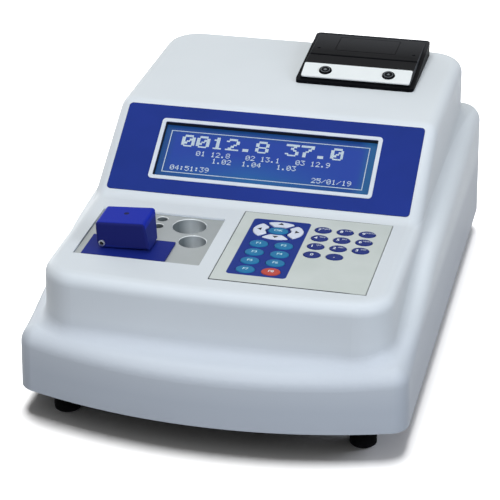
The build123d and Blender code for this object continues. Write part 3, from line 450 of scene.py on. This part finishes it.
number_half, number_x = (0.0051, 0.0042), (0.0474, 0.06075, 0.0741)
number_y = (-0.0598, -0.0712, -0.0826, -0.0940)
figure_size, figure_bold, letter_size = 0.0039, 0.0001, 0.0021
figure_left, figure_down, letter_place = -0.0021, -0.0004, (0.0016, 0.0012)
number_names = ("7", "8", "9", "4", "5", "6", "1", "2", "3", "0", "point")
letters = {"1": "QZ", "2": "ABC", "3": "DEF", "4": "GHI", "5": "JKL", "6": "MNO", "7": "PQRS",
           "8": "TUV", "9": "WXYZ"}
for index, name in enumerate(number_names):
    mid = np.array((number_x[index % 3], number_y[index // 3]))
    node = f"number_key_{name}"
    domed_key(node, oval(mid, number_half), mid, navy)
    place = mid + (figure_left if name in letters else 0.0, figure_down)
    lettering(f"figure_{name}", "." if name == "point" else name, place, figure_size, ink_white, node,
              bold=figure_bold)
    if name in letters:
        lettering(f"letters_{name}", letters[name], mid + letter_place, letter_size, ink_white, node)

function_half, function_x = (0.0056, 0.0046), (0.014, 0.029)
function_y = (-0.0864, -0.0981, -0.1097, -0.1213)
mark_size, mark_bold = 0.0036, 0.00006
for index in range(8):
    mid = np.array((function_x[index % 2], function_y[index // 2]))
    node = f"function_key_{('left', 'right')[index % 2]}_{index // 2 + 1}"
    colour, ink = (orange, ink_white) if index == 7 else (teal, ink_cyan)
    domed_key(node, oval(mid, function_half), mid, colour)
    lettering(f"mark_{index + 1}", f"F{index + 1}", mid, mark_size, ink, node, bold=mark_bold)

ring_mid, centre_half = np.array((0.0215, -0.0669)), (0.0061, 0.0043)
domed_key("centre_key", oval(ring_mid, centre_half), ring_mid, teal)
lettering("mark_centre", "OK", ring_mid, mark_size, ink_cyan, "centre_key", bold=mark_bold)

ring_outer, ring_inner, ring_gap = (0.0153, 0.0120), (0.0080, 0.0060), 0.0013
arrow_tips, arrow_length, arrow_half = (0.0129, 0.0105), 0.0026, 0.0019


def even(outline, count):
    """The closed outline with so many points, set evenly along it."""
    ends = np.vstack([outline, outline[:1]])
    run = np.concatenate([[0], np.cumsum(np.linalg.norm(np.diff(ends, axis=0), axis=1))])
    place = np.linspace(0, run[-1], count, endpoint=False)
    return np.stack([np.interp(place, run, ends[:, i]) for i in range(2)], -1)


def soften(outline, spread):
    """The closed outline with its corners rounded: each point is the bell-weighted mean of 25."""
    near = np.arange(-12, 13)
    weight = np.exp(-0.5 * (near / spread) ** 2)
    turned = np.stack([np.roll(outline, k, axis=0) for k in near])
    return np.tensordot(weight / weight.sum(), turned, 1)


def arrow_outline(turn):
    """A quarter of the oval ring about the turn: what its outer and inner ovals have between two
    straight gaps at 45 degrees to it, joined to one outline and softened."""
    sides = []
    for half in (ring_outer, ring_inner):
        t = turn + np.linspace(-pi / 2, pi / 2, 2001)
        curve = np.stack([half[0] * np.cos(t), half[1] * np.sin(t)], -1)
        along = curve @ (cos(turn), sin(turn))
        across = curve @ (-sin(turn), cos(turn))
        sides.append(curve[np.abs(across) < along - ring_gap * 2 ** 0.5])
    return soften(even(np.vstack([sides[0], sides[1][::-1]]), count=160), spread=3.2) + ring_mid


for index, name in enumerate(("right", "up", "left", "down")):
    turn = pi / 2 * index
    outline = arrow_outline(turn)
    domed_key(f"arrow_key_{name}", outline, outline.mean(0), white)
    ahead, side = np.array((cos(turn), sin(turn))), np.array((-sin(turn), cos(turn)))
    tip = ring_mid + ahead * arrow_tips[index % 2]
    tail = tip - ahead * arrow_length
    corners = np.stack([tip, tail + side * arrow_half, tail - side * arrow_half])
    points = np.column_stack([corners, np.full(3, ink_height)])
    shape(f"arrow_{name}", points, [[0, 1, 2]], ink_dark, f"arrow_key_{name}", slot="key_navy")

# Heated block: one milled piece of aluminium hung under the key deck. Its top is finely brushed from
# side to side, and its wells are bored. Their walls carry painted shade and, in the two large wells, a
# painted highlight, dark on one side and light on the other round their axis and brighter lower down,
# with a painted bright line on their lip.
block_top, shaded_to = 0.091, 0.078
rear_well_x, rear_well_radius = -0.0324, 0.0102
front_well_x, front_well_radius = -0.0254, 0.0082
between_wells, small_wells_right = -0.0804, -0.0436
milled, at = finish("milled_aluminium")
x, y, z = (at.axis(i) for i in range(3))
# Painted shade inside the wells, a painted highlight down the middle of the large ones and a painted
# bright line on their lip.
deep = z.step(block_top - 0.0001, block_top - 0.0005)
lip = z.step(0.0904, 0.0907) * z.step(0.09098, 0.09092)
at_rear = y.step(between_wells - 0.0002, between_wells + 0.0002)
across = ((x - rear_well_x) * at_rear / rear_well_radius
          + (x - front_well_x) * (1 - at_rear) / front_well_radius)
in_large_wells = x.step(small_wells_right, small_wells_right + 0.0004)
well_highlight = (1 - abs(across - 0.05)).step(0.12, 0.75) * in_large_wells
well_highlight = well_highlight * (z.step(block_top - 0.001, shaded_to) * 0.5 + 0.5)
brush = grain(at, 0.0004, detail=3.0, stretch=(60, 1, 1))
colour = grain(at, 0.03).step(0.3, 0.7).mix("a2a8a8", "aaafaf").tint("727a7c", deep)
dress(milled, Base_Color=colour.tint("dde2e2", deep * well_highlight).tint("dfe4e4", lip * 0.8),
      Metallic=0.6 - deep * 0.6, **skin(brush, smoothest=0.34, rougher=0.18, depth=0.00002))
wear(milled, "heater_block")

# Light cover and its base plate: royal blue moulded plastic with a dull skin, hinged to each other on
# a hollow pin at the left. The top of the cover carries a painted highlight, with a dark dimple in it,
# and its front a painted shade.
plate_top, cover_low, cover_high, cover_front = 0.0922, 0.0944, 0.1062, -0.1120
dimple_mid, dimple_radius = (-0.0628, -0.0990), 0.0016
royal, at = finish("royal_blue_plastic", Specular_IOR_Level=0.05)
x, y, z = (at.axis(i) for i in range(3))
dimple = oblong(x, y, dimple_mid, (dimple_radius, dimple_radius), corner=0.0015)
dimple = dimple * z.step(cover_high + 0.0008, cover_high + 0.001)
colour = grain(at, 0.015).step(0.3, 0.7).mix("1d2a78", "212d7d")
# Painted light: the cover's top is tinted brighter and its front darker.
for shade, amount in (
    ("1b297c", z.step(plate_top + 0.0002, plate_top)),
    ("162aa4", z.step(cover_high, cover_high + 0.0008)),
    ("0d1440", dimple),
    ("1d2365", y.step(cover_front, cover_front - 0.001) * z.step(cover_low, cover_low + 0.0006)),
):
    colour = colour.tint(shade, amount)
dress(royal, Base_Color=colour,
      **skin(grain(at, 0.0005, detail=3.0), smoothest=0.38, rougher=0.16, depth=0.00003))
wear(royal, "sensor_cover", "cover_base")

# Printer: a body and a lid moulded in black plastic with a fine spark-eroded skin, sunk in the rear
# deck. The rear of the lid and its two sides carry a painted highlight and are a little greyer. Two
# round buttons stand in a pale fascia, each with a printed grey ring and sign. The rocker, the fan and
# the inlet are the same black.
printer_x, lid_side, lid_foot, lid_top = 0.040, 0.0361, 0.1345, 0.1385
lid_mid_y, lid_rear_y = 0.116, 0.146
black, at = finish("black_plastic", Specular_IOR_Level=0.02)
x, y, z = (at.axis(i) for i in range(3))
reach = abs(x - printer_x)
# Painted highlight: the lid's rear and its two sides are tinted greyer.
lid_rear_highlight = y.step(lid_mid_y, lid_rear_y) * z.step(lid_top, lid_top + 0.001)
lid_side_highlight = reach.step(lid_side - 0.0002, lid_side - 0.00005)
lid_side_highlight = lid_side_highlight * reach.step(lid_side + 0.0003, lid_side + 0.0001)
lid_side_highlight = lid_side_highlight * z.step(lid_foot, lid_foot + 0.001)
colour = grain(at, 0.02).step(0.3, 0.7).mix("0b0c0f", "101114").tint("36373a", lid_rear_highlight)
dress(black, Base_Color=colour.tint("55575b", lid_side_highlight),
      **skin(grain(at, 0.0005, detail=3.0), smoothest=0.34, rougher=0.2, depth=0.00004, strength=0.6))
wear(black, "printer_body", "printer_lid", "optics_block", "power_inlet", "switch_frame",
     "power_rocker", "fan_frame", "fan_rotor", "printer_button_left", "printer_button_right")

pale, at = finish("pale_fascia")
dress(pale, Base_Color=grain(at, 0.02).step(0.3, 0.7).mix("eff3f3", "eaefef"),
      **skin(grain(at, 0.0008, detail=3.0), smoothest=0.34, rougher=0.14, depth=0.00002, strength=0.4))
wear(pale, "printer_fascia")


def printed_mark(name, mid, along, up, outer, inner, corners, turn, material, body):
    """A flat printed mark: a ring of so many corners about mid, or one plain face where inner is 0. Its
    corners are at the cosine of their angle along the one vector and the sine along the other."""
    angle = turn + np.linspace(0, 2 * pi, corners, endpoint=False)
    circle = np.cos(angle)[:, None] * np.array(along) + np.sin(angle)[:, None] * np.array(up)
    i = np.arange(corners)
    j = np.roll(i, -1)
    if inner:
        points = np.vstack([mid + outer * circle, mid + inner * circle])
        faces = np.stack([i, j, corners + j, corners + i], -1).tolist()
    else:
        points, faces = mid + outer * circle, [i.tolist()]
    shape(name, points, faces, material, body, slot="key_white")


ink_grey = key_finish("ink_grey", "6f7478", "787d81")
fascia_foot = np.array((printer_x, 0.079, 0.135))
fascia_up, fascia_out = np.array((0, 0.96104, 0.27646)), np.array((0, -0.27646, 0.96104))
button_x, button_up, button_top = 0.02085, 0.0076, 0.00183
for side, to_right, corners, turn in (("left", -1, 4, 0.0), ("right", 1, 3, pi / 2)):
    mid = fascia_foot + (to_right * button_x, 0, 0) + fascia_up * button_up + fascia_out * button_top
    button = f"printer_button_{side}"
    printed_mark(f"rim_{button}", mid, (1, 0, 0), fascia_up, outer=0.0031, inner=0.0027, corners=32,
                 turn=0.0, material=ink_grey, body=button)
    printed_mark(f"sign_{button}", mid, (1, 0, 0), fascia_up, outer=0.0013, inner=0.0, corners=corners,
                 turn=turn, material=ink_grey, body=button)

# Paper roll: white thermal paper, wound on a core that lies loose in the printer's cradle, with faint
# lines across its width.
paper, at = finish("thermal_paper")
wound = grain(at, 0.0003, stretch=(60, 1, 1))
dress(paper, Base_Color=wound.mix("eceae2", "f3f1ec"),
      **skin(wound, smoothest=0.52, rougher=0.14, depth=0.00003, strength=0.4))
wear(paper, "paper_roll")

# Power rocker: a moulded lever that snaps into its frame in the rear panel. Its two halves carry the
# usual ring and bar, printed white on black.
rocker_x, mark_lift = 0.022, 0.00003
rocker_low, rocker_crease, rocker_high = (0.1667, 0.0442), (0.1674, 0.0490), (0.1685, 0.0532)
for name, low, high, outer, inner, corners, turn, narrow in (  # low and high: its half's ends in y, z
    ("off", rocker_low, rocker_crease, 0.0014, 0.0010, 24, 0.0, 1.0),
    ("on", rocker_crease, rocker_high, 0.0019, 0.0, 4, pi / 4, 0.22),
):
    up = np.array((0, high[0] - low[0], high[1] - low[1]))
    up = up / np.linalg.norm(up)
    mid = np.array((rocker_x, (low[0] + high[0]) / 2, (low[1] + high[1]) / 2))
    mid = mid + np.cross(up, (1, 0, 0)) * mark_lift
    printed_mark(f"rocker_{name}", mid, (-narrow, 0, 0), up, outer, inner, corners, turn, ink_white,
                 "power_rocker")

# Boards: glass-fibre laminate under green solder mask, with the faint weave of the fibre. The main one
# is held over the tray, the other is screwed to the back of the display.
board, at = finish("green_board")
weave = grain(at, 0.0007, detail=1.0)
dress(board, Base_Color=weave.mix("11502a", "1b6636"),
      **skin(weave, smoothest=0.28, rougher=0.2, depth=0.00003, strength=0.4))
wear(board, "main_board", "lcd_board")

# Studio: a white floor under white air, with the camera at the photograph's place. Two floor lamps
# light the floor alone, and four others, from above, the front, the right and the rear left, light
# everything but the floor.
white_rays = (0, 3, 6)  # outputs of Light Path: is camera ray, is glossy ray, is transmission ray
floor_half, floor_grey = 6.0, 0.06
floor_finish = bpy.data.materials.new("studio_floor")
floor_finish.use_nodes = True
floor_finish.node_tree.nodes.clear()
ground = Wire(floor_finish.node_tree)
seen, mirrored, through = (ground.node("LightPath", out=i) for i in white_rays)
level = (seen * 0.94).high(mirrored.high(through) * 0.55) + floor_grey
floor_colour = ground.node("CombineColor", Red=level, Green=level, Blue=level)
ground.node("OutputMaterial", Surface=ground.node("BsdfDiffuse", Color=floor_colour))
floor_mesh = bpy.data.meshes.new("studio_floor")
floor_corners = np.array([(-1, -1, 0), (1, -1, 0), (1, 1, 0), (-1, 1, 0)]) * floor_half
floor_mesh.from_pydata(floor_corners.tolist(), [], [(0, 1, 2, 3)])
floor_mesh.materials.append(floor_finish)
floor = bpy.data.objects.new("studio_floor", floor_mesh)
bpy.context.scene.collection.objects.link(floor)


def lamp(name, place, target, size, power, colour=(1, 1, 1), floor_only=False):
    """A square lamp aimed at the target. A floor lamp lights only the floor, the others all but it."""
    light = bpy.data.lights.new(name, "AREA")
    light.shape, light.size, light.energy, light.color = "SQUARE", size, power, colour
    holder = bpy.data.objects.new(name, light)
    aim = Vector(target) - Vector(place)
    holder.matrix_world = Matrix.Translation(place) @ aim.to_track_quat("-Z", "Y").to_matrix().to_4x4()
    bpy.context.scene.collection.objects.link(holder)
    lit = bpy.data.collections.new(name)
    lit.objects.link(floor)
    holder.light_linking.receiver_collection = lit
    lit.collection_objects[0].light_linking.link_state = "INCLUDE" if floor_only else "EXCLUDE"


low_middle = (0, 0, 0.05)
lamp("floor_lamp", (-0.2, 0.65, 3.0), (0, 0, 0), size=1.6, power=172, floor_only=True)
lamp("floor_edge_lamp", (1.9, 1.1, 0.9), (0.1, 0, 0), size=1.0, power=27, colour=(0.85, 0.89, 1.0),
     floor_only=True)
lamp("top_lamp", (-0.2, 0.3, 2.2), (0, 0.05, 0), size=1.5, power=14.4, colour=(1.0, 1.0, 0.94))
lamp("front_lamp", (-0.1, -1.6, 1.4), low_middle, size=1.0, power=19.6, colour=(0.88, 0.92, 1.0))
lamp("side_lamp", (1.8, -0.95, 1.0), low_middle, size=1.0, power=17.6, colour=(0.82, 0.89, 1.0))
lamp("back_lamp", (-1.6, 1.5, 0.45), low_middle, size=1.0, power=12, colour=(0.94, 0.97, 1.0))

world = bpy.data.worlds.new("studio_air")
bpy.context.scene.world = world
world.use_nodes = True
world.node_tree.nodes.clear()
air = Wire(world.node_tree)
seen, mirrored, through = (air.node("LightPath", out=i) for i in white_rays)
up = air.node("TexCoord", out=0).axis(2)
dim_air = air.node("Background", Color="ffffff", Strength=up.step(-0.1, 0.9) * 0.23 + 0.045)
white_air = air.node("Background", Color="ffffff", Strength=1.0)
both = air.node("MixShader", Fac=seen.high(mirrored).high(through),
                Shader=dim_air, Shader_001=white_air)
air.node("OutputWorld", Surface=both)

sensor_width, lens_length = 36.0, 144.67
camera_place = Vector((0.24875, -1.12678, 0.60394))
ahead = Vector((-0.20239, 0.87718, -0.43543))
right = Vector((0.97414, 0.22594, 0.00237))
camera = bpy.data.cameras.new("photograph")
camera.sensor_width, camera.sensor_fit, camera.lens = sensor_width, "HORIZONTAL", lens_length
camera.clip_end = 50.0
camera_holder = bpy.data.objects.new("photograph", camera)
turn = Matrix((right, right.cross(ahead), -ahead)).transposed()
camera_holder.matrix_world = Matrix.Translation(camera_place) @ turn.to_4x4()
bpy.context.scene.collection.objects.link(camera_holder)
bpy.context.scene.camera = camera_holder
bpy.context.scene.view_settings.view_transform = "Standard"
